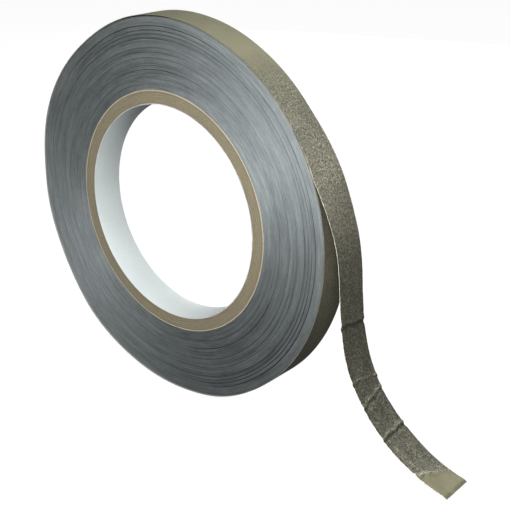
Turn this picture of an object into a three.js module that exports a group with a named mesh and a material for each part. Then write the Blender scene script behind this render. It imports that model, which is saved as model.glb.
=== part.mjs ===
// Copper foil tape roll: a narrow roll of adhesive metal foil tape on a paper core, standing on
// its rim, with the free end of the tape hanging off one side in a few soft creases.
// Millimetres. +Z up. The roll's axis runs along Y, the free end hangs on the +X side.
// The origin is the lowest point of the rim, at half the tape's width.
import * as THREE from 'three';

// ---- driving dimensions (mm) ----
const TAPE_WIDTH = 12.0;          // strip width, and so the roll's thickness
const ROLL_RADIUS = 67.4;         // outside of the last turn
const BORE_RADIUS = 38.1;         // 3 inch core
const FACETS = 72;                // flats round every ring, one of them exactly at the bottom
const FOIL_T = 0.05;              // metal foil
const ADHESIVE_T = 0.03;          // acrylic adhesive
const LINER_T = 0.09;             // release paper
const STRIP_T = FOIL_T + ADHESIVE_T + LINER_T;
const CORE_LINER_T = 0.30;        // white inner ply of the core
const CORE_PLY_T = 0.85;          // one kraft board ply
const CORE_PLIES = 5;
const CORE_OUTER_T = 0.35;        // pale outer ply
const TURN_GAP = 0.30;            // slack between the wound turns and the loose last turn
const BEND_GAP = 0.30;            // slit between two stiff lengths of strip, at each bend line

// Radii at which the wound turns show a dark parting line; each band between two of them
// telescopes a little from its neighbours: [outer radius, shift along the axis].
const BANDS = [
  [46.6, -0.10], [48.4, 0.05], [49.7, -0.15], [51.0, 0.00], [53.5, -0.12], [55.3, 0.06],
  [59.7, -0.15], [61.15, 0.04], [62.45, -0.08], [63.75, 0.05],
  [ROLL_RADIUS - STRIP_T - TURN_GAP, 0.15],
];
const BAND_WIDTH = TAPE_WIDTH - 0.30;   // bands stay inside the strip's own width when shifted

// The last turn lies on the roll from LAST_TURN_END round the bottom to LIFT_ANGLES[0];
// angles are measured from +X towards +Z about the roll's centre.
const LIFT_ANGLES = [130, 100, 70, 40];  // bend lines of the part of the turn that lifts off
const LAST_TURN_END = 396;

// Free end: the outer (foil) surface, x and z from the roll's centre, from the place where it
// leaves the roll down to the tip.
const TAIL_PATH = [
  [51.63, 43.33], [56.0, 38.5], [60.1, 33.3], [64.6, 26.0], [68.3, 17.0], [71.0, 9.0],
  [72.5, 2.0], [73.4, -5.0], [73.9, -12.5], [74.5, -19.0], [75.4, -24.5], [76.9, -31.0],
  [79.6, -37.4], [83.6, -43.6], [88.0, -48.7], [92.6, -52.9], [98.3, -56.8], [104.6, -60.0],
  [110.0, -61.9], [115.4, -62.9],
];
// Bend lines of the free end, as length along TAIL_PATH from where it leaves the roll.
const TAIL_BENDS = [0, 33, 68.3, 87.8, 93.8, 106, 122.5];

// ---- materials ----
const mat = (name, color, roughness, metalness) => {
  const m = new THREE.MeshStandardMaterial({ color, roughness, metalness });
  m.name = name;
  return m;
};
const FOIL = () => mat('foil_pewter', 0x8e8b76, 0.42, 0.9);
const ADHESIVE = () => mat('adhesive_clear_amber', 0xb8ad86, 0.35, 0.0);
const LINER = () => mat('release_paper', 0xcfcabb, 0.75, 0.0);
const TURNS = () => mat('wound_edges', 0x7d8282, 0.5, 0.6);
const KRAFT = () => mat('kraft_board', 0x8b8575, 0.9, 0.0);
const PALE = () => mat('pale_core_ply', 0xb7b2a2, 0.85, 0.0);
const WHITE = () => mat('white_core_ply', 0xc8cbca, 0.7, 0.0);

// ---- helpers ----
const CZ = ROLL_RADIUS;                                // height of the roll's centre
const FLAT = 1 / Math.cos(Math.PI / FACETS);           // flat distance to corner distance
const group = new THREE.Group();
group.name = 'copper_foil_tape_roll';

function outward(geometry) {
  // signed volume; turn the faces over when the closed shape came out inside out
  const g = geometry.index ? geometry.toNonIndexed() : geometry;
  const p = g.attributes.position;
  let v = 0;
  const a = new THREE.Vector3(), b = new THREE.Vector3(), c = new THREE.Vector3();
  for (let i = 0; i < p.count; i += 3) {
    a.fromBufferAttribute(p, i); b.fromBufferAttribute(p, i + 1); c.fromBufferAttribute(p, i + 2);
    v += a.dot(b.clone().cross(c)) / 6;
  }
  if (v < 0) {
    for (let i = 0; i < p.count; i += 3) {
      b.fromBufferAttribute(p, i + 1); c.fromBufferAttribute(p, i + 2);
      p.setXYZ(i + 1, c.x, c.y, c.z); p.setXYZ(i + 2, b.x, b.y, b.z);
    }
  }
  g.deleteAttribute('uv');
  g.computeVertexNormals();
  return g;
}

function add(name, geometry, material) {
  const m = new THREE.Mesh(outward(geometry), material);
  m.name = name;
  group.add(m);
}

// A closed ring about the roll's axis, from one flat radius to another.
function ring(name, r0, r1, y0, y1, material) {
  const pts = [[r0, y0], [r1, y0], [r1, y1], [r0, y1], [r0, y0]]
    .map(([r, y]) => new THREE.Vector2(r * FLAT, y));
  const g = new THREE.LatheGeometry(pts, FACETS, Math.PI / FACETS, Math.PI * 2);
  g.translate(0, 0, CZ);
  add(name, g, material);
}

// A strip lying along a line in the XZ plane: the line is its outer face, t0..t1 is the depth
// of this layer below that face, and the strip is as wide as the tape.
function strip(name, line, t0, t1, material) {
  const n = line.map((p, i) => {
    const a = line[Math.max(i - 1, 0)], b = line[Math.min(i + 1, line.length - 1)];
    const seg = (u, v) => { const dx = v[0] - u[0], dz = v[1] - u[1], l = Math.hypot(dx, dz); return [dx / l, dz / l]; };
    const d0 = i > 0 ? seg(a, p) : seg(p, b), d1 = i < line.length - 1 ? seg(p, b) : d0;
    const m = [-(d0[1] + d1[1]), d0[0] + d1[0]];
    const l = Math.hypot(m[0], m[1]);
    const nx = m[0] / l, nz = m[1] / l;
    const k = 1 / Math.max(0.5, nx * -d0[1] + nz * d0[0]);   // mitre
    return [nx * k, nz * k];
  });
  // travelling clockwise over the roll, the outward side is on the left
  const side = (t) => line.map((p, i) => [p[0] - n[i][0] * t, p[1] - n[i][1] * t]);
  const outline = [...side(t0), ...side(t1).reverse()];
  const shape = new THREE.Shape(outline.map(([x, z]) => new THREE.Vector2(x, z)));
  const g = new THREE.ExtrudeGeometry(shape, { depth: TAPE_WIDTH, bevelEnabled: false, curveSegments: 1 });
  g.rotateX(Math.PI / 2);
  g.translate(0, TAPE_WIDTH / 2, CZ);
  add(name, g, material);
}

function layers(prefix, line) {
  strip(`${prefix}_foil`, line, 0, FOIL_T, FOIL());
  strip(`${prefix}_adhesive`, line, FOIL_T, FOIL_T + ADHESIVE_T, ADHESIVE());
  strip(`${prefix}_liner`, line, FOIL_T + ADHESIVE_T, STRIP_T, LINER());
}

// Points of the last turn's outer face from one angle down to another (clockwise), on the same
// flats as the rings, with half a bend gap taken off each end.
function arc(from, to) {
  const step = 360 / FACETS, slack = (BEND_GAP / 2 / ROLL_RADIUS) * 180 / Math.PI;
  const a0 = from - slack, a1 = to + slack;
  const at = (deg) => {
    const k = Math.round(deg / step) * step;               // the flat this angle falls on
    const r = ROLL_RADIUS / Math.cos((deg - k) * Math.PI / 180);
    return [r * Math.cos(deg * Math.PI / 180), r * Math.sin(deg * Math.PI / 180)];
  };
  const out = [at(a0)];
  for (let c = Math.floor((a0 - step / 2) / step) * step + step / 2; c > a1; c -= step) {
    if (c < a0) out.push(at(c - 1e-9));
  }
  out.push(at(a1));
  return out;
}

// Part of TAIL_PATH between two lengths, with half a bend gap taken off each end.
function tail(from, to) {
  const len = [0];
  for (let i = 1; i < TAIL_PATH.length; i++) {
    len.push(len[i - 1] + Math.hypot(TAIL_PATH[i][0] - TAIL_PATH[i - 1][0], TAIL_PATH[i][1] - TAIL_PATH[i - 1][1]));
  }
  const total = len[len.length - 1];
  const s0 = from + BEND_GAP / 2, s1 = to === null ? total : to - BEND_GAP / 2;
  const at = (s) => {
    let i = 1;
    while (i < len.length - 1 && len[i] < s) i++;
    const f = (s - len[i - 1]) / (len[i] - len[i - 1]);
    return [0, 1].map((k) => TAIL_PATH[i - 1][k] + (TAIL_PATH[i][k] - TAIL_PATH[i - 1][k]) * f);
  };
  const out = [at(s0)];
  len.forEach((l, i) => { if (l > s0 + 0.4 && l < s1 - 0.4) out.push(TAIL_PATH[i]); });
  out.push(at(s1));
  return out;
}

// ---- core: white inner ply, kraft board plies, pale outer ply ----
const h = TAPE_WIDTH / 2;
let r = BORE_RADIUS;
ring('core_inner_ply_white', r, r + CORE_LINER_T, -h, h, WHITE());
r += CORE_LINER_T;
for (let i = 1; i <= CORE_PLIES; i++, r += CORE_PLY_T) {
  ring(`core_kraft_ply_${i}`, r, r + CORE_PLY_T, -h, h, KRAFT());
}
ring('core_outer_ply_pale', r, r + CORE_OUTER_T, -h, h, PALE());
r += CORE_OUTER_T;

// ---- wound tape, in bands of turns that sit at slightly different places along the axis ----
BANDS.forEach(([r1, shift], i) => {
  ring(`wound_turns_${String(i + 1).padStart(2, '0')}`, r, r1, -BAND_WIDTH / 2 + shift, BAND_WIDTH / 2 + shift, TURNS());
  r = r1;
});

// ---- last turn: the part that stays on the roll, then the lengths that lift off it ----
layers('last_turn', arc(LAST_TURN_END, LIFT_ANGLES[0]));
for (let i = 0; i < LIFT_ANGLES.length - 1; i++) {
  layers(`lift_${i + 1}`, arc(LIFT_ANGLES[i], LIFT_ANGLES[i + 1]));
}

// ---- free end, one stiff length between each two bend lines ----
TAIL_BENDS.forEach((s, i) => {
  layers(`tail_${i + 1}`, tail(s, i + 1 < TAIL_BENDS.length ? TAIL_BENDS[i + 1] : null));
});

export default group;
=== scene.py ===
import math
import bpy
import numpy as np
from mathutils import Matrix, Vector


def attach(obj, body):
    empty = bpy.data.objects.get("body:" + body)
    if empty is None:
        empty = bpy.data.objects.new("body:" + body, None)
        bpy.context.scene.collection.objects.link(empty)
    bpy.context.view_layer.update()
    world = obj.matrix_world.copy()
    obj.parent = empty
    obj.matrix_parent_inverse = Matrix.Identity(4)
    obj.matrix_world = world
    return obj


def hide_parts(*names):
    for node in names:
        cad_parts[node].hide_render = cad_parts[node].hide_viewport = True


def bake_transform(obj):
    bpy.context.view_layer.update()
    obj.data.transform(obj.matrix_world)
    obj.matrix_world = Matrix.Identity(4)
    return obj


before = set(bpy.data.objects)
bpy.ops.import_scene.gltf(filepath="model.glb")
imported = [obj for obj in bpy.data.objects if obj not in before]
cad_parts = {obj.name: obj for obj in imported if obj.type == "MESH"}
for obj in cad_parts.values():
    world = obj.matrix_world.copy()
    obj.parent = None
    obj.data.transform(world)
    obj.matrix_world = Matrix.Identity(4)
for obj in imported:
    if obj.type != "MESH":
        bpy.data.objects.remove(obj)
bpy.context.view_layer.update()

# Everything below is written in millimetres and turned into metres when a mesh is made.
MM = 0.001
R = 67.4                 # outer face of the last turn
CZ = 67.4                # height of the roll's centre
HALF = 6.0               # half the strip's width
FOIL_T, ADH_T, LINER_T = 0.05, 0.03, 0.09
STRIP_T = FOIL_T + ADH_T + LINER_T
rng = np.random.default_rng(20)
scene = bpy.context.scene

# ---------------------------------------------------------------- camera
cam_data = bpy.data.cameras.new("camera")
cam = bpy.data.objects.new("camera", cam_data)
scene.collection.objects.link(cam)
scene.camera = cam
cam_data.lens, cam_data.sensor_width = 70.12, 36.0
cam_data.clip_start, cam_data.clip_end = 0.01, 50.0
right = Vector((0.758, 0.652, 0.0)).normalized()
back = Vector((0.6014, -0.699, 0.387)).normalized()
up = back.cross(right).normalized()
right = up.cross(back).normalized()
m = Matrix((
    (right.x, up.x, back.x, 232.3 * MM),
    (right.y, up.y, back.y, -230.1 * MM),
    (right.z, up.z, back.z, 187.0 * MM),
    (0, 0, 0, 1)))
cam.matrix_world = m


# ---------------------------------------------------------------- small helpers
def smoothstep(a, b, x):
    t = np.clip((np.asarray(x, float) - a) / (b - a), 0, 1)
    return t * t * (3 - 2 * t)


def bell(x, c, w):
    return np.exp(-((np.asarray(x, float) - c) / w) ** 2)


def waves(seed, n, lo, hi):
    """A smooth random function of one variable: n sine waves with wavelengths between lo and hi."""
    g = np.random.default_rng(seed)
    lam = np.exp(g.uniform(np.log(lo), np.log(hi), n))
    ph = g.uniform(0, 2 * np.pi, n)
    am = g.uniform(0.5, 1.0, n)
    am /= np.sqrt((am ** 2).sum() / 2)
    return lambda x: sum(a * np.sin(2 * np.pi * np.asarray(x) / l + p) for a, l, p in zip(am, lam, ph))


def waves2(seed, n, lo, hi):
    """The same over two variables, in random directions."""
    g = np.random.default_rng(seed)
    lam = np.exp(g.uniform(np.log(lo), np.log(hi), n))
    ang = g.uniform(0, np.pi, n)
    ph = g.uniform(0, 2 * np.pi, n)
    am = 1 / math.sqrt(n / 2)
    return lambda x, y: am * sum(np.sin(2 * np.pi * (x * np.cos(t) + y * np.sin(t)) / l + p)
                                 for l, t, p in zip(lam, ang, ph))


def periodic(points):
    """A smooth closed function of the angle in degrees through (angle, value) points."""
    a = np.array([p[0] for p in points], float)
    v = np.array([p[1] for p in points], float)
    fine = np.arange(0, 360, 1.0)
    lin = np.interp(fine, np.r_[a - 360, a, a + 360], np.r_[v, v, v])
    k = np.exp(-0.5 * (np.arange(-15, 16) / 3.5) ** 2)
    k /= k.sum()
    lin = np.convolve(np.r_[lin[-15:], lin, lin[:15]], k, "valid")
    return lambda deg: np.interp(np.mod(deg, 360), np.r_[fine, 360], np.r_[lin, lin[0]])


def make_mesh(name, verts_mm, quads, attributes=None, smooth_angle=40, materials=()):
    me = bpy.data.meshes.new(name)
    me.from_pydata([], [], [])
    v = np.asarray(verts_mm, float) * MM
    q = np.asarray(quads, np.int32)
    me.vertices.add(len(v))
    me.vertices.foreach_set("co", v.astype(np.float32).ravel())
    me.loops.add(q.size)
    me.loops.foreach_set("vertex_index", q.ravel())
    me.polygons.add(len(q))
    me.polygons.foreach_set("loop_start", np.arange(0, q.size, 4, dtype=np.int32))
    me.polygons.foreach_set("loop_total", np.full(len(q), 4, np.int32))
    me.update(calc_edges=True)
    me.validate()
    for key, val in (attributes or {}).items():
        val = np.asarray(val, np.float32)
        if val.ndim == 1:
            me.attributes.new(key, "FLOAT", "POINT").data.foreach_set("value", val)
        else:
            me.attributes.new(key, "FLOAT_VECTOR", "POINT").data.foreach_set("vector", val.ravel())
    me.shade_smooth()
    me.set_sharp_from_angle(angle=math.radians(smooth_angle))
    for mat in materials:
        me.materials.append(mat)
    o = bpy.data.objects.new(name, me)
    scene.collection.objects.link(o)
    return o


# ---------------------------------------------------------------- node materials
class Nodes:
    """A short way to write a node tree."""

    def __init__(self, name):
        self.mat = bpy.data.materials.new(name)
        self.mat.use_nodes = True
        self.t = self.mat.node_tree
        self.t.nodes.clear()
        self.out = self.new("ShaderNodeOutputMaterial")
        self.bsdf = self.new("ShaderNodeBsdfPrincipled")
        self.link(self.bsdf.outputs[0], self.out.inputs[0])

    def new(self, kind, **props):
        n = self.t.nodes.new(kind)
        for k, v in props.items():
            setattr(n, k, v)
        return n

    def link(self, a, b):
        self.t.links.new(a, b)

    def put(self, socket, value):
        if hasattr(value, "is_output"):
            self.link(value, socket)
        else:
            socket.default_value = value

    def attr(self, name, out="Vector"):
        return self.new("ShaderNodeAttribute", attribute_name=name, attribute_type="GEOMETRY").outputs[out]

    def math(self, op, a, b=None, c=None, clamp=False):
        n = self.new("ShaderNodeMath", operation=op, use_clamp=clamp)
        for i, v in enumerate((a, b, c)):
            if v is not None:
                self.put(n.inputs[i], v)
        return n.outputs[0]

    def vec(self, op, a, b=None):
        n = self.new("ShaderNodeVectorMath", operation=op)
        self.put(n.inputs[0], a)
        if b is not None:
            self.put(n.inputs[1], b)
        return n.outputs[0]

    def noise(self, vector, scale, detail=2.0, rough=0.5, distortion=0.0, out="Fac"):
        n = self.new("ShaderNodeTexNoise")
        self.put(n.inputs["Vector"], vector)
        n.inputs["Scale"].default_value = scale
        n.inputs["Detail"].default_value = detail
        n.inputs["Roughness"].default_value = rough
        n.inputs["Distortion"].default_value = distortion
        return n.outputs[out]

    def voronoi(self, vector, scale, feature="F1", out="Distance"):
        n = self.new("ShaderNodeTexVoronoi", feature=feature)
        self.put(n.inputs["Vector"], vector)
        n.inputs["Scale"].default_value = scale
        return n.outputs[out]

    def ramp(self, fac, stops, mode="LINEAR"):
        n = self.new("ShaderNodeValToRGB")
        n.color_ramp.interpolation = mode
        e = n.color_ramp.elements
        while len(e) < len(stops):
            e.new(0.5)
        for el, (p, c) in zip(e, stops):
            el.position = p
            el.color = (c, c, c, 1) if isinstance(c, (int, float)) else (*c, 1)
        self.put(n.inputs[0], fac)
        return n.outputs[0]

    def mix(self, fac, a, b, blend="MIX"):
        n = self.new("ShaderNodeMix", data_type="RGBA", blend_type=blend)
        self.put(n.inputs[0], fac)
        self.put(n.inputs[6], a if hasattr(a, "is_output") else (*a, 1))
        self.put(n.inputs[7], b if hasattr(b, "is_output") else (*b, 1))
        return n.outputs[2]

    def bump(self, height, strength, distance_mm, normal=None):
        n = self.new("ShaderNodeBump")
        self.put(n.inputs["Strength"], strength)
        n.inputs["Distance"].default_value = distance_mm * MM
        self.put(n.inputs["Height"], height)
        if normal is not None:
            self.put(n.inputs["Normal"], normal)
        return n.outputs[0]

    def set(self, **kw):
        for k, v in kw.items():
            self.put(self.bsdf.inputs[k.replace("_", " ")], v)
        return self


def lin(*c):
    """sRGB 0 to 255 as linear."""
    out = []
    for v in c:
        v /= 255
        out.append(v / 12.92 if v <= 0.04045 else ((v + 0.055) / 1.055) ** 2.4)
    return tuple(out)


def foil_material():
    """Dull pewter-toned foil with a fine crepe grain. The vector attribute strip is (length, width, depth)
    in mm; grain is 0 where the surface is smooth, and a further attribute scales the colour with painted light and
    shade."""
    n = Nodes("foil_crepe_pewter")
    p = n.attr("strip")
    grain, painted_light = n.attr("grain", "Fac"), n.attr("painted_light", "Fac")
    warp = n.vec("ADD", p, n.vec("MULTIPLY", n.noise(p, 1.6, 2, 0.5, out="Color"), (0.7, 0.7, 0.0)))
    coarse = n.noise(warp, 1.25, 4.0, 0.62, 0.6)
    fine = n.noise(warp, 3.1, 3.0, 0.65, 0.3)
    cell = n.voronoi(warp, 1.55, "DISTANCE_TO_EDGE")
    wrinkle = n.math("SUBTRACT", 1.0, n.math("MULTIPLY", cell, 3.2, clamp=True), clamp=True)
    fleck = n.ramp(fine, [(0.52, 0.0), (0.62, 1.0)])
    clump = n.ramp(coarse, [(0.38, 0.0), (0.66, 1.0)])
    light = n.math("ADD", n.math("MULTIPLY", fleck, 0.62), n.math("MULTIPLY", clump, 0.38), clamp=True)
    light = n.mix(grain, (0.42, 0.42, 0.42), light)
    dark_c = n.mix(grain, lin(92, 89, 70), lin(86, 84, 72))
    light_c = n.mix(grain, lin(188, 185, 151), lin(196, 194, 174))
    col = n.mix(light, dark_c, light_c)
    cloud = n.noise(p, 0.09, 3.0, 0.5)
    col = n.mix(1.0, col, n.ramp(cloud, [(0.25, 0.86), (0.75, 1.08)]), "MULTIPLY")
    # painted light and shade along the strip, multiplied into the colour
    col = n.mix(1.0, col, painted_light, "MULTIPLY")
    rough = n.math("ADD", 0.34, n.math("MULTIPLY", coarse, 0.16))
    height = n.math("ADD", n.math("MULTIPLY", fine, 0.45),
                    n.math("ADD", n.math("MULTIPLY", coarse, 0.9), n.math("MULTIPLY", wrinkle, 0.28)))
    b = n.bump(height, n.math("ADD", 0.10, n.math("MULTIPLY", grain, 0.62)), 0.16)
    n.set(Base_Color=col, Metallic=0.80, Roughness=rough, Normal=b)
    return n.mat


def adhesive_material():
    n = Nodes("adhesive_amber")
    p = n.attr("strip")
    f = n.noise(p, 2.0, 3, 0.6)
    col = n.mix(n.attr("wound", "Fac"), n.mix(f, lin(150, 140, 112), lin(186, 176, 148)), lin(92, 94, 90))
    n.set(Base_Color=col, Roughness=n.math("ADD", 0.25, n.math("MULTIPLY", f, 0.2)),
          Normal=n.bump(f, 0.3, 0.03))
    return n.mat


def liner_material():
    """Release paper: pale, smooth, with fibres."""
    n = Nodes("release_paper")
    p = n.attr("strip")
    fibre = n.noise(n.vec("MULTIPLY", p, (0.9, 3.4, 1.0)), 2.4, 4, 0.6, 0.8)
    cloud = n.noise(p, 0.22, 2, 0.5)
    col = n.mix(fibre, lin(196, 192, 178), lin(218, 215, 204))
    col = n.mix(1.0, col, n.ramp(cloud, [(0.3, 0.93), (0.7, 1.04)]), "MULTIPLY")
    col = n.mix(n.attr("wound", "Fac"), col, lin(112, 116, 112))
    n.set(Base_Color=col, Roughness=n.math("ADD", 0.5, n.math("MULTIPLY", fibre, 0.2)), Normal=n.bump(fibre, 0.35, 0.05))
    return n.mat


def wound_material():
    """The edges of the turns: foil, adhesive and paper seen end on, brushed round the axis.
    The vector attribute polar is (radius in mm, cosine, sine)."""
    n = Nodes("wound_turn_edges")
    p = n.attr("polar")
    ring = n.noise(n.vec("MULTIPLY", p, (1.0, 0.30, 0.30)), 2.6, 5.0, 0.72)
    band = n.noise(n.vec("MULTIPLY", p, (0.34, 0.10, 0.10)), 1.9, 2.0, 0.5)
    speck = n.noise(n.attr("place"), 1.7, 4.0, 0.7)
    col = n.mix(ring, lin(89, 95, 98), lin(149, 155, 155))
    streak = n.noise(n.vec("MULTIPLY", p, (0.85, 0.035, 0.035)), 2.1, 3.0, 0.6)
    col = n.mix(1.0, col, n.ramp(band, [(0.3, 0.84), (0.7, 1.10)]), "MULTIPLY")
    col = n.mix(1.0, col, n.ramp(streak, [(0.34, 0.76), (0.46, 0.98), (0.60, 1.03), (0.70, 1.18)]), "MULTIPLY")
    col = n.mix(1.0, col, n.ramp(speck, [(0.3, 0.93), (0.7, 1.06)]), "MULTIPLY")
    # pale edges of the outer turns: partly their own colour, partly painted light on the right
    col = n.mix(n.attr("pale_edge_and_painted_light", "Fac"), col, lin(166, 162, 143))
    # painted shade in the partings and grooves between turns
    col = n.mix(n.attr("dark", "Fac"), col, lin(38, 40, 44))
    # painted light and shade round the face, multiplied into the colour
    col = n.mix(1.0, col, n.attr("painted_light", "Fac"), "MULTIPLY")
    # the outside of the outermost turn is foil
    radius = n.new("ShaderNodeSeparateXYZ")
    n.link(p, radius.inputs[0])
    skin = n.math("MULTIPLY", n.math("SUBTRACT", radius.outputs[0], 67.16), 30.0, clamp=True)
    col = n.mix(skin, col, n.mix(speck, lin(92, 89, 71), lin(134, 130, 108)))
    tangent = n.new("ShaderNodeTangent", direction_type="RADIAL", axis="Y").outputs[0]
    height = n.math("ADD", ring, n.math("MULTIPLY", speck, 0.35))
    n.set(Base_Color=col, Metallic=0.80, Roughness=n.math("ADD", 0.68, n.math("MULTIPLY", ring, 0.16)),
          Anisotropic=0.62, Anisotropic_Rotation=0.25, Tangent=tangent, Normal=n.bump(height, 0.25, 0.05))
    return n.mat


def board_material(name, dark, pale, rough=0.85, fibre_scale=1.0, browned=1.0):
    """Paper board: fibres along the turns, specks, and cut-edge fuzz on the faces."""
    n = Nodes(name)
    p, place = n.attr("polar"), n.attr("place")
    layers = n.noise(n.vec("MULTIPLY", p, (2.6, 1.6, 1.6)), 2.4, 4, 0.65)
    fuzz = n.noise(place, 1.5 * fibre_scale, 6, 0.72, 0.4)
    speck = n.ramp(n.noise(place, 3.2 * fibre_scale, 2, 0.5), [(0.62, 0.0), (0.74, 1.0)])
    f = n.math("ADD", n.math("MULTIPLY", layers, 0.45), n.math("MULTIPLY", fuzz, 0.55))
    col = n.mix(n.ramp(f, [(0.3, 0.0), (0.7, 1.0)]), dark, pale)
    col = n.mix(n.math("MULTIPLY", speck, 0.30), col, tuple(0.45 * c for c in dark))
    # the plies next to the bore and next to the tape are browner
    radius = n.new("ShaderNodeSeparateXYZ")
    n.link(p, radius.inputs[0])
    across = n.math("MULTIPLY", n.math("SUBTRACT", radius.outputs[0], 38.1), 1 / 4.9, clamp=True)
    brown = n.ramp(n.math("ADD", across, n.math("MULTIPLY", n.math("SUBTRACT", fuzz, 0.5), 0.10)),
                   [(0.06, 0.62), (0.20, 0.10), (0.62, 0.0), (0.84, 0.15), (0.93, 0.70)])
    col = n.mix(n.math("MULTIPLY", brown, browned), col, n.mix(0.5, tuple(0.72 * c for c in dark), lin(112, 88, 62)))
    n.set(Base_Color=col, Roughness=rough, Normal=n.bump(n.math("ADD", fuzz, n.math("MULTIPLY", layers, 0.6)), 0.5, 0.12))
    return n.mat


def white_ply_material():
    n = Nodes("core_white_ply")
    p, place = n.attr("polar"), n.attr("place")
    fuzz = n.noise(place, 0.9, 5, 0.65)
    cloud = n.noise(place, 0.06, 2, 0.5)
    col = n.mix(fuzz, lin(150, 157, 158), lin(165, 170, 170))
    col = n.mix(1.0, col, n.ramp(cloud, [(0.3, 0.95), (0.7, 1.02)]), "MULTIPLY")
    n.set(Base_Color=col, Roughness=0.55, Normal=n.bump(fuzz, 0.25, 0.06))
    return n.mat


FOIL, ADHESIVE, LINER = foil_material(), adhesive_material(), liner_material()
TURNS = wound_material()
KRAFT = board_material("core_kraft_board", lin(76, 70, 53), lin(125, 117, 96))
PALE = board_material("core_pale_ply", lin(134, 128, 110), lin(170, 164, 148), 0.8, 1.4, 0.0)
WHITE = white_ply_material()

# ---------------------------------------------------------------- shape of the roll
# The outermost turns are a few tenths of a millimetre out of round.
OUT_OF_ROUND = periodic([
    (60, 0.0), (80, 0.05), (95, 0.15), (105, 0.0), (115, -0.45), (124, -0.75), (135, -0.3), (150, 0.3), (160, 0.3),
    (170, -0.25), (177, -0.85), (190, -0.35), (204, -0.8), (214, -0.5), (222, 0.15), (231, 0.75), (240, 0.45),
    (252, 0.05), (262, 0.1), (270, 0.0), (277, -0.05), (290, 0.4), (300, 0.0), (310, -0.3), (320, -0.1), (340, 0.0), (20, 0.0)])


def out_of_round(radius, deg):
    return OUT_OF_ROUND(deg) * smoothstep(48, 66.5, radius) ** 1.5


# Slack under the last turn: open at the upper left, where a dark slit shows.
SLACK = periodic([(0, 0.02), (60, 0.02), (76, 0.05), (84, 0.42), (96, 0.5), (103, 0.3), (112, 0.03), (200, 0.02), (300, 0.02)])

# The faces of the turns lean a little in and out over the radius.
_slope_r = np.array([43.0, 44.0, 46.5, 47.4, 48.5, 49.3, 50.3, 51.3, 52.6, 54.0, 55.2, 57.5, 59.3, 60.5, 64.5, 65.6, 66.4, 67.4])
_slope_v = np.array([.035, .045, .040, -.01, -.050, 0.0, .050, .000, -.030, .020, -.020, -.045, 0.0, .030, .040, .070, .120, .300])
_fr = np.arange(43.0, 67.41, 0.05)
_lean = np.cumsum(np.interp(_fr, _slope_r, _slope_v)) * 0.05


def lean(radius):
    return np.interp(radius, _fr, _lean)


def revolve(name, profile, n, material, dark=None, radial=None, axial=None, smooth_angle=40, pale_edge_and_painted_light=None):
    """A closed ring about the roll's axis from a closed profile of (radius, y). radial(r, deg) and
    axial(index, r, y, deg) give small moves that vary round the ring."""
    prof = np.asarray(profile, float)
    k = len(prof)
    deg = np.arange(n) * 360.0 / n
    rr = np.repeat(prof[None, :, 0], n, 0)
    yy = np.repeat(prof[None, :, 1], n, 0)
    dd = np.repeat(deg[:, None], k, 1)
    r0 = rr.copy()
    if radial is not None:
        rr = rr + radial(r0, dd)
    if axial is not None:
        yy = yy + axial(np.repeat(np.arange(k)[None, :], n, 0), r0, yy, dd)
    c, s = np.cos(np.radians(dd)), np.sin(np.radians(dd))
    v = np.stack([rr * c, yy, CZ + rr * s], -1).reshape(-1, 3)
    i = np.arange(n)[:, None] * k
    j = np.arange(k)[None, :]
    a, b = i + j, i + (j + 1) % k
    e = ((np.arange(n)[:, None] + 1) % n) * k
    q = np.stack([a, b, e + (j + 1) % k, e + j], -1).reshape(-1, 4)
    # the profile's turning direction decides which way the faces look
    x, y = prof[:, 0], prof[:, 1]
    area = 0.5 * np.sum(x * np.roll(y, -1) - np.roll(x, -1) * y)
    if area < 0:
        q = q[:, ::-1]
    at = {"polar": np.stack([r0, c * 30, s * 30], -1).reshape(-1, 3), "place": v.copy()}
    # pale outer edges: partly their own colour, partly painted light on the right
    if pale_edge_and_painted_light is not None:
        at["pale_edge_and_painted_light"] = pale_edge_and_painted_light(r0, dd).ravel()
    # painted light and shade round the face
    if material is TURNS:
        at["painted_light"] = np.repeat(FACE_PAINTED_LIGHT(deg)[:, None], len(profile), 1).ravel()
    # painted shade in the partings and grooves between turns, scaled round the face
    if dark is not None:
        at["dark"] = (np.repeat(np.asarray(dark)[None, :], n, 0) * (0.20 + 0.80 * STRONG(dd))).ravel()
    o = make_mesh(name, v, q, at, smooth_angle, (material,))
    return o


# ---------------------------------------------------------------- core
Y0, Y1 = -HALF, HALF
SEG = 288


def ply(node, r0, r1, material, seed, fuzz=0.035, edge=0.10):
    """One paper ply: a ring with softly broken edges whose cut faces wander a little."""
    w = r1 - r0
    e = min(edge, w * 0.3)
    front = [(r0, Y0 + e), (r0 + e * 0.35, Y0 + e * 0.3), (r0 + e, Y0), (r0 + w * 0.5, Y0 - 0.01), (r1 - e, Y0), (r1 - e * 0.35, Y0 + e * 0.3), (r1, Y0 + e)]
    back_side = [(r, -y) for r, y in front[::-1]]
    prof = front + back_side
    f1, f2 = waves(seed, 5, 6, 60), waves(seed + 1, 5, 1.5, 9)
    on_face = np.array([0.0 if i in (0, 6, 7, 13) else 1.0 for i in range(14)])

    def axial(idx, r, y, deg):
        # whole wavelengths round the ring, so that it closes
        u = np.round(np.array([1.0]))[0] * deg
        a = np.sin(np.radians(3 * u + seed)) * 0.5 + np.sin(np.radians(11 * u + 2.3 * seed)) * 0.35 + np.sin(np.radians(29 * u + 1.7 * seed)) * 0.25
        return a * fuzz * on_face[idx] * np.where(y < 0, 1, -1)

    o = revolve("look_" + node, prof, SEG, material, axial=axial, smooth_angle=50)
    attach(o, "roll")
    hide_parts(node)
    return o


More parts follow.
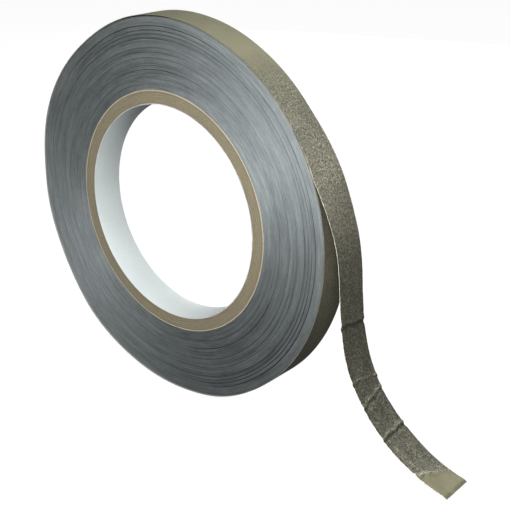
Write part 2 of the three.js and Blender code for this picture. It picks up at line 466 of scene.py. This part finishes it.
r = 38.1
ply("core_inner_ply_white", r, r + 0.30, WHITE, 3, fuzz=0.02, edge=0.12)
r += 0.30
for i in range(1, 6):
    o = ply(f"core_kraft_ply_{i}", r, r + 0.85, KRAFT, 10 + i)
    r += 0.85
o = ply("core_outer_ply_pale", r, r + 0.35, PALE, 31, fuzz=0.02)
r += 0.35

# ---------------------------------------------------------------- wound turns
PITCH = 0.17
BANDS = [46.6, 48.4, 49.7, 51.0, 53.5, 55.3, 59.7, 61.15, 62.45, 63.75, 67.4 - STRIP_T - 0.02]
# how deep and wide the parting line at each band's outer edge is
PARTING = [(0.24, 0.12), (0.14, 0.10), (0.45, 0.20), (0.24, 0.13), (0.40, 0.18), (0.34, 0.16), (0.95, 0.23), (0.75, 0.20),
           (0.75, 0.20), (0.60, 0.18), (0.30, 0.12)]
# How strongly the partings and grooves show round the face, strongest on the right and weakest on the left: it scales
# their depth and the painted shade in them.
STRONG = periodic([(0, 1.0), (75, 1.0), (95, 0.72), (112, 0.40), (130, 0.25), (160, 0.18), (215, 0.30), (260, 0.45), (300, 0.75), (340, 1.0)])


# A mild change round the face, kept within about a tenth: painted light and shade, darker at the bottom and low on the
# left, lighter on the right.
# It was chosen by eye and by comparing brightness with the reference, where surface colour and light can't be told
# apart, so part of it may be light and not surface.
FACE_PAINTED_LIGHT = periodic([(0, 1.09), (40, 1.05), (90, 1.06), (130, 1.05), (170, 1.07), (205, 1.0), (235, 0.93), (265, 0.88), (290, 0.92),
                      (315, 1.0), (345, 1.09)])


def wound_band(k, r0, r1):
    node = f"wound_turns_{k + 1:02d}"
    turns = max(2, int(round((r1 - r0) / PITCH)))
    edges = np.linspace(r0, r1, turns + 1)
    g = np.random.default_rng(100 + k)
    front = []
    drift = 0.0
    for t in range(turns):
        a, b = edges[t], edges[t + 1]
        drift = 0.75 * drift + g.normal(0, 0.010)
        step = drift + g.normal(0, 0.006) + (0.05 if g.random() < 0.09 else 0.0)
        line = g.random() < 0.16
        groove = 0.030 + (0.12 if line else 0.0)
        # painted shade in the groove after this turn, heavy for the dark lines and faint for the rest
        painted_shade = g.uniform(0.45, 0.9) if line else max(0.0, g.normal(0.05, 0.06))
        mid = a + (b - a) * 0.5
        front.append((a + 0.012, groove + step, painted_shade))
        front.append((mid, step - 0.004, painted_shade * 0.7))
        front.append((b - 0.030, step + 0.006, 0.0))
    pin, pout = (PARTING[k - 1] if k else (0.10, 0.06)), PARTING[k]
    depth, width = pin
    # columns: radius, depth, side wall of a parting, painted shade
    fr = [(r0, depth + 0.05, 1.0, 1.0)]
    fr += [(a, s, 0.0, painted_shade) for a, s, painted_shade in front if a > r0 + width * 0.5]
    depth, width = pout
    if k < len(BANDS) - 1:
        fr = [f for f in fr if f[0] < r1 - width * 0.5]
        # painted shade in the deep partings
        fr.append((r1 - width * 0.5, 0.02, 0.0, 0.25 if depth > 0.3 else 0.0))
        fr.append((r1, depth + 0.05, 1.0, 1.0 if depth > 0.3 else 0.6))
    else:
        fr.append((r1, 0.10, 0.0, 0.0))
    fr = np.array(fr)
    n = len(fr)
    prof_f = np.stack([fr[:, 0], Y0 + 0.02 + lean(fr[:, 0])], -1)
    prof_b = np.stack([fr[::-1, 0], Y1 - 0.02 - 0.6 * lean(fr[::-1, 0])], -1)
    prof = np.vstack([prof_f, prof_b])
    depth_all = np.r_[fr[:, 1], fr[::-1, 1]]
    wall = np.r_[fr[:, 2], fr[::-1, 2]]
    painted_shade_all = np.r_[fr[:, 3], fr[::-1, 3]]
    ph = g.uniform(0, 2 * np.pi, (3, n))
    am = g.normal(0, 0.007, (3, n))
    # neighbouring turns wander together
    for q in range(3):
        am[q] = np.convolve(np.r_[am[q][:2], am[q], am[q][-2:]], np.ones(5) / 5, "valid") * 1.8
    ph, am = np.hstack([ph, ph[:, ::-1] + 1.0]), np.hstack([am, am[:, ::-1]])

    def axial(idx, rad, y, deg):
        sgn = np.where(idx < n, 1.0, -1.0)
        strong = np.where(wall[idx] > 0, STRONG(deg), 0.55 + 0.45 * STRONG(deg))
        d = depth_all[idx] * strong
        t = np.radians(deg)
        d = d + am[0][idx] * np.sin(t + ph[0][idx]) + am[1][idx] * np.sin(2 * t + ph[1][idx]) + am[2][idx] * np.sin(5 * t + ph[2][idx])
        return sgn * d

    def radial(rad, deg):
        d = out_of_round(rad, deg)
        if k == len(BANDS) - 1:
            d = d - SLACK(deg) * smoothstep(66.2, 67.2, rad)
        return d

    # The pale edges of the outer turns: partly their own colour, a little all round, and partly painted light, up to
    # four times as strong on the right.
    def pale_edge_and_painted_light(rad, deg):
        painted_light_right = 0.5 + 0.5 * np.cos(np.radians(deg - 20))
        return 0.24 * smoothstep(65.6, 67.2, rad) * (0.25 + 0.75 * painted_light_right)

    o = revolve("look_" + node, prof, 360, TURNS, radial=radial, axial=axial, smooth_angle=75, pale_edge_and_painted_light=pale_edge_and_painted_light, dark=painted_shade_all)
    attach(o, "roll")
    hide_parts(node)
    return o


r0 = 43.0
for k, r1 in enumerate(BANDS):
    wound_band(k, r0, r1)
    r0 = r1

# ---------------------------------------------------------------- the strip: last turn and free end
TAIL_PATH = np.array([
    [51.63, 43.33], [56.0, 38.5], [60.1, 33.3], [64.6, 26.0], [68.3, 17.0], [71.0, 9.0],
    [72.5, 2.0], [73.4, -5.0], [73.9, -12.5], [74.5, -19.0], [75.4, -24.5], [76.9, -31.0],
    [79.6, -37.4], [83.6, -43.6], [88.0, -48.7], [92.6, -52.9], [98.3, -56.8], [104.6, -60.0],
    [110.0, -61.9], [115.4, -62.9]])
_len = np.r_[0, np.cumsum(np.hypot(*np.diff(TAIL_PATH, axis=0).T))]
TAIL_LEN = float(_len[-1])
LEAVE_DEG = 40.0
DEG_PER_MM = 180 / math.pi / R


def _build_line():
    """The outer face's line from well back on the roll to the tip, one point each 0.25 mm."""
    s = np.arange(-420, TAIL_LEN + 8.01, 0.25)
    deg = LEAVE_DEG - s * DEG_PER_MM
    arc_x, arc_z = R * np.cos(np.radians(deg)), R * np.sin(np.radians(deg))
    tx, tz = np.interp(s, _len, TAIL_PATH[:, 0]), np.interp(s, _len, TAIL_PATH[:, 1])
    over = s > TAIL_LEN
    d = TAIL_PATH[-1] - TAIL_PATH[-2]
    d = d / np.hypot(*d)
    tx[over] = TAIL_PATH[-1, 0] + d[0] * (s[over] - TAIL_LEN)
    tz[over] = TAIL_PATH[-1, 1] + d[1] * (s[over] - TAIL_LEN)
    x = np.where(s < 0, arc_x, tx)
    z = np.where(s < 0, arc_z, tz)
    k = np.exp(-0.5 * (np.arange(-36, 37) / 9.0) ** 2)
    k /= k.sum()
    pad = 36
    xs = np.convolve(np.r_[np.full(pad, x[0]), x, np.full(pad, x[-1])], k, "valid")
    zs = np.convolve(np.r_[np.full(pad, z[0]), z, np.full(pad, z[-1])], k, "valid")
    w = smoothstep(-14, -2, s)
    x, z = x * (1 - w) + xs * w, z * (1 - w) + zs * w
    # the turns' own out-of-roundness, on the part that lies on the roll
    rad = out_of_round(R, np.mod(deg, 360)) * (1 - smoothstep(-25, -5, s))
    x, z = x + rad * np.cos(np.radians(deg)), z + rad * np.sin(np.radians(deg))
    # the inner end tucks down onto the turn below
    tuck = 0.14 * (1 - smoothstep(-(396 - LEAVE_DEG) / DEG_PER_MM, -(378 - LEAVE_DEG) / DEG_PER_MM, s))
    x, z = x - tuck * np.cos(np.radians(deg)), z - tuck * np.sin(np.radians(deg))
    return s, x, z


_S, _X, _Z = _build_line()
_DX, _DZ = np.gradient(_X), np.gradient(_Z)
_N = np.hypot(_DX, _DZ)
_NX, _NZ = -_DZ / _N, _DX / _N

# Creases: length at the front edge, length at the back edge, height, width, and how the ridge
# fades across the strip (front, back).
CREASES = [
    # s front, s back, valley depth, ridge height, half width, fade front, fade back
    (67.6, 69.2, 0.42, 0.16, 0.85, 1.0, 1.0),
    (63.9, 65.6, 0.05, 0.06, 0.9, 0.2, 1.0),
    (86.6, 88.4, 0.12, 0.32, 0.60, 1.0, 0.7),
    (80.8, 89.0, 0.05, 0.26, 0.55, 0.1, 1.0),
    (95.2, 92.4, 0.20, 0.33, 0.62, 0.9, 1.0),
    (97.5, 98.2, 0.10, 0.08, 0.9, 1.0, 0.1),
    (106.4, 105.6, 0.34, 0.38, 0.70, 1.0, 1.0),
    (108.4, 107.8, 0.12, 0.05, 0.8, 0.7, 0.2),
    (120.9, 127.0, 0.14, 0.34, 0.60, 1.0, 0.0),
    (118.2, 119.6, 0.06, 0.10, 0.8, 0.8, 0.0),
]
_und = waves2(7, 9, 6, 26)
_fine = waves2(8, 14, 1.6, 4.5)


def relief(s, y):
    """Height of the strip's surface over its smooth line, in mm."""
    f = (y + HALF) / (2 * HALF)
    h = np.zeros(np.broadcast(s, y).shape)
    wob = 0.35 * np.sin(y * 1.1 + 0.7) + 0.22 * np.sin(y * 2.3 + s * 0.05)
    for a, b, valley, ridge, w, e0, e1 in CREASES:
        u = s - (a + (b - a) * f) - wob * 0.6
        env = e0 + (e1 - e0) * smoothstep(0, 1, f)
        h = h + env * (ridge * np.exp(-np.abs(u / w) ** 1.5) - valley * np.exp(-((u - 1.35 * w) / (1.05 * w)) ** 2))
    tail = smoothstep(20, 66, s)
    h = h + _und(s, y * 1.4) * (0.008 + 0.055 * tail)
    h = h + _fine(s, y) * (0.002 + 0.014 * smoothstep(30, 66, s) * (1 - 0.7 * smoothstep(121, 125, s)))
    # leaving the roll, the strip twists a little: its front edge stays close to the roll for longer
    gap = np.hypot(np.interp(s, _S, _X), np.interp(s, _S, _Z)) - R - STRIP_T - 0.12
    hug = 2.1 * smoothstep(3, 13, s) * (1 - smoothstep(13, 44, s))
    h = h - np.minimum(hug, np.maximum(gap, 0.0)) * np.clip(1 - f, 0, 1) ** 1.1
    # the cut end turns down
    h = h - 0.30 * smoothstep(TAIL_LEN - 1.6, TAIL_LEN, s) ** 2
    return h


def grain_of(s, y):
    """0 where the foil is smooth, 1 where it is creped: smooth over the top of the roll and at the tip."""
    jit = 2.5 * np.sin(y * 0.9) + 1.5 * np.sin(y * 2.1 + 1)
    g = 0.06 + 0.94 * smoothstep(-32, -3, s + jit)
    g = g + 0.6 * (1 - smoothstep(-230, -150, s))
    tip_line = 120.5 + 6.0 * np.clip((y + HALF) / (2 * HALF), 0, 1)
    return np.clip(g, 0, 1) * (1 - 0.92 * smoothstep(0.0, 1.6, s - tip_line))


# Painted light and shade along the strip: lengths in mm, and the factors on the foil's colour there.
_PAINTED_LIGHT_S = [-420, -390, -262, -200, -60, -20, 4, 20, 33, 46, 62, 76, 104, 119, 124, 131]
_PAINTED_LIGHT_V = [0.74, 0.70, 0.72, 0.85, 0.96, 0.90, 1.00, 1.12, 1.08, 0.84, 0.72, 0.68, 0.70, 0.78, 0.90, 0.92]


def painted_light_of(s, y):
    """A mild change along the strip: painted light and shade, darker on the last turn's right side and bottom, behind
    the hanging end, and along the hanging end, lighter just after the strip leaves the roll and near the tip. It was
    chosen by comparison with the reference, which can't separate the foil's own colour from the light on it. On the
    creases it adds painted highlights along the ridges and painted shade in the valleys."""
    f = (y + HALF) / (2 * HALF)
    t = np.interp(s, _PAINTED_LIGHT_S, _PAINTED_LIGHT_V) + 0.0 * y
    wob = 0.35 * np.sin(y * 1.1 + 0.7) + 0.22 * np.sin(y * 2.3 + s * 0.05)
    for a, b, valley, ridge, w, e0, e1 in CREASES:
        u = s - (a + (b - a) * f) - wob * 0.6
        env = e0 + (e1 - e0) * smoothstep(0, 1, f)
        # painted highlights on the crease ridges, painted shade in their valleys
        t = t * (1 + env * (2.3 * ridge * np.exp(-np.abs(u / (0.6 * w)) ** 1.5) - 1.3 * valley * np.exp(-((u - 1.35 * w) / (1.0 * w)) ** 2)))
    return t


def sheet_points(s, y, depth):
    """Points of a layer of the strip at length s and width y, depth mm below its outer face."""
    x, z = np.interp(s, _S, _X), np.interp(s, _S, _Z)
    nx, nz = np.interp(s, _S, _NX), np.interp(s, _S, _NZ)
    h = relief(s, y) - depth
    return np.stack([x + nx * h, y + 0 * s, CZ + z + nz * h], -1)


def strip_layer(name, s0, s1, ds, t0, t1, material, inset=0.0, ny=24):
    ns = max(2, int(math.ceil((s1 - s0) / ds)) + 1)
    ss = np.linspace(s0, s1, ns)
    yy = np.linspace(-HALF + inset, HALF - inset, ny + 1)
    S, Y = np.meshgrid(ss, yy, indexing="ij")
    top, bot = sheet_points(S, Y, t0), sheet_points(S, Y, t1)
    v = np.concatenate([top.reshape(-1, 3), bot.reshape(-1, 3)])
    nv = ns * (ny + 1)
    idx = np.arange(nv).reshape(ns, ny + 1)
    quads = []
    a, b, c, d = idx[:-1, :-1], idx[1:, :-1], idx[1:, 1:], idx[:-1, 1:]
    quads.append(np.stack([a, b, c, d], -1).reshape(-1, 4))
    quads.append(np.stack([d, c, b, a], -1).reshape(-1, 4) + nv)
    for row in (idx[:, 0], idx[:, -1][::-1], idx[0, :][::-1], idx[-1, :]):
        p, q = row[:-1], row[1:]
        quads.append(np.stack([q, p, p + nv, q + nv], -1))
    q = np.concatenate(quads)
    at = {
        "strip": np.concatenate([np.stack([S, Y, 0 * S + t0], -1).reshape(-1, 3), np.stack([S, Y, 0 * S + t1], -1).reshape(-1, 3)]),
        "grain": np.tile(grain_of(S, Y).ravel(), 2),
        # painted light and shade along the strip
        "painted_light": np.tile(painted_light_of(S, Y).ravel(), 2),
        "wound": np.tile((1 - smoothstep(2, 22, S)).ravel(), 2),
    }
    return make_mesh(name, v, q, at, 40, (material,))


LAYERS = {"foil": (0.0, FOIL_T, FOIL, 0.0, "foil"), "adhesive": (FOIL_T, FOIL_T + ADH_T, ADHESIVE, 0.02, "adhesive"),
          "liner": (FOIL_T + ADH_T, STRIP_T, LINER, 0.0, "release_liner")}
BODIES = ["roll", "lift_1", "lift_2", "lift_3"] + [f"tail_{i}" for i in range(1, 8)]
# bend lines as lengths along the strip, in the order of the joints
BENDS = [-(a - LEAVE_DEG) / DEG_PER_MM for a in (130, 100, 70)] + [0, 33, 68.3, 87.8, 93.8, 106, 122.5]
# the strip is cut into pieces halfway between the bend lines; the piece that stays on the roll ends 17.5 mm before the
# first bend line
START = -(396 - LEAVE_DEG) / DEG_PER_MM
# how far before and after the bend line it bends: on the roll only after it, so that the strip never dips into the
# turns below; at the end only before it, so that the peeling liner and the foil stay together
mids = [0.5 * (BENDS[i] + BENDS[i + 1]) for i in range(len(BENDS) - 1)]
first = BENDS[0] - 17.5


for layer, (t0, t1, mat, inset, slot_name) in LAYERS.items():
    def made(name, s0, s1, ds):
        o = strip_layer(name, s0, s1, ds, t0, t1, mat, inset)
        return o
    o = made(f"look_last_turn_{layer}", START, first, 1.2)
    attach(o, "roll")
    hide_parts(f"last_turn_{layer}")
    bounds_s = [first] + mids + [TAIL_LEN]
    for i, bend in enumerate(BENDS):
        s0, s1 = bounds_s[i], bounds_s[i + 1]
        child = BODIES[i + 1]
        node = f"{child}_{layer}"
        ds = 1.0 if bend < -10 else (0.6 if bend < 50 else 0.28)
        if i == len(BENDS) - 1 and layer == "liner":
            # the liner's end is its own piece, which peels off
            o = made("look_tail_6_liner_end", s0, bend, ds)
            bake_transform(o)
            o = made("look_tail_7_liner", bend, s1, 0.2)
            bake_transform(o)
            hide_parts("tail_7_liner")
            continue
        if i == len(BENDS) - 1:
            cut = bend + 5.0
            o = made(f"look_{child}_{layer}_bend", s0, cut, ds)
            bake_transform(o)
            o = made(f"look_{node}", cut, s1, ds)
            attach(o, child)
            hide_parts(node)
            continue
        o = made(f"look_{node}", s0, s1, ds)
        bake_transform(o)
        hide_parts(node)

# ---------------------------------------------------------------- floor, light and world
floor_me = bpy.data.meshes.new("floor")
floor_me.from_pydata([(-6, -6, 0), (6, -6, 0), (6, 6, 0), (-6, 6, 0)], [], [(0, 1, 2, 3)])
floor = bpy.data.objects.new("floor", floor_me)
scene.collection.objects.link(floor)
fm = bpy.data.materials.new("floor_pale")
fm.use_nodes = True
t = fm.node_tree
t.nodes.clear()
out = t.nodes.new("ShaderNodeOutputMaterial")
dif = t.nodes.new("ShaderNodeBsdfDiffuse")
dif.inputs["Color"].default_value = (0.80, 0.80, 0.80, 1)
dim = t.nodes.new("ShaderNodeBsdfDiffuse")
dim.inputs["Color"].default_value = (0.05, 0.05, 0.05, 1)
emi = t.nodes.new("ShaderNodeEmission")
emi.inputs["Color"].default_value = (1, 1, 1, 1)
emi.inputs["Strength"].default_value = 1.06
lp = t.nodes.new("ShaderNodeLightPath")
pale = t.nodes.new("ShaderNodeMixShader")
pale.inputs[0].default_value = 0.90
mx = t.nodes.new("ShaderNodeMixShader")
t.links.new(dif.outputs[0], pale.inputs[1])
t.links.new(emi.outputs[0], pale.inputs[2])
t.links.new(lp.outputs["Is Camera Ray"], mx.inputs[0])
t.links.new(dim.outputs[0], mx.inputs[1])
t.links.new(pale.outputs[0], mx.inputs[2])
t.links.new(mx.outputs[0], out.inputs[0])
floor_me.materials.append(fm)

world = bpy.data.worlds.new("studio")
scene.world = world
world.use_nodes = True
wt = world.node_tree
wt.nodes.clear()
wo = wt.nodes.new("ShaderNodeOutputWorld")
b1 = wt.nodes.new("ShaderNodeBackground")
b1.inputs[0].default_value = (0.93, 0.96, 1.0, 1)
b1.inputs[1].default_value = 0.10
b2 = wt.nodes.new("ShaderNodeBackground")
b2.inputs[0].default_value = (1, 1, 1, 1)
b2.inputs[1].default_value = 0.962
wl = wt.nodes.new("ShaderNodeLightPath")
wm = wt.nodes.new("ShaderNodeMixShader")
wt.links.new(wl.outputs["Is Camera Ray"], wm.inputs[0])
wt.links.new(b1.outputs[0], wm.inputs[1])
wt.links.new(b2.outputs[0], wm.inputs[2])
wt.links.new(wm.outputs[0], wo.inputs[0])


def area(name, direction, distance, size, power, color=(1, 1, 1), target=(0, 0, 0.0674)):
    d = Vector(direction).normalized()
    data = bpy.data.lights.new(name, "AREA")
    data.shape = "RECTANGLE"
    data.size, data.size_y = size
    data.energy = power
    data.color = color
    o = bpy.data.objects.new(name, data)
    scene.collection.objects.link(o)
    o.visible_camera = False
    o.location = Vector(target) + d * distance
    o.rotation_euler = (-d).to_track_quat("-Z", "Y").to_euler()
    return o


area("key_by_camera", (0.62, -0.60, 0.50), 0.28, (0.14, 0.14), 1.45, (1.0, 0.995, 0.985), (0.03, 0, 0.075))
area("front_top", (0.05, -0.60, 0.80), 0.30, (0.14, 0.14), 0.54, (0.99, 1.0, 1.0), (0, 0, 0.09))
area("front_low", (0.55, -0.83, 0.0), 0.5, (0.3, 0.12), 1.15, (0.99, 1.0, 1.0), (0.02, 0, 0.0674))
area("left_top", (-0.45, -0.55, 0.70), 0.35, (0.2, 0.2), 0.26, (0.99, 1.0, 1.0), (-0.02, 0, 0.09))
area("top_right", (0.55, 0.10, 0.83), 0.32, (0.22, 0.22), 0.68, (1.0, 1.0, 0.98), (0.03, 0, 0.10))
area("behind", (-0.35, 0.93, 0.03), 0.7, (0.4, 0.26), 4.5, (1.0, 1.0, 1.0))
area("top_back", (-0.25, 0.50, 0.82), 0.9, (0.8, 0.6), 1.6, (1.0, 1.0, 0.98))

scene.view_settings.view_transform = "Standard"
scene.view_settings.look = "None"
scene.view_settings.exposure = 0.0
scene.view_settings.gamma = 1.0
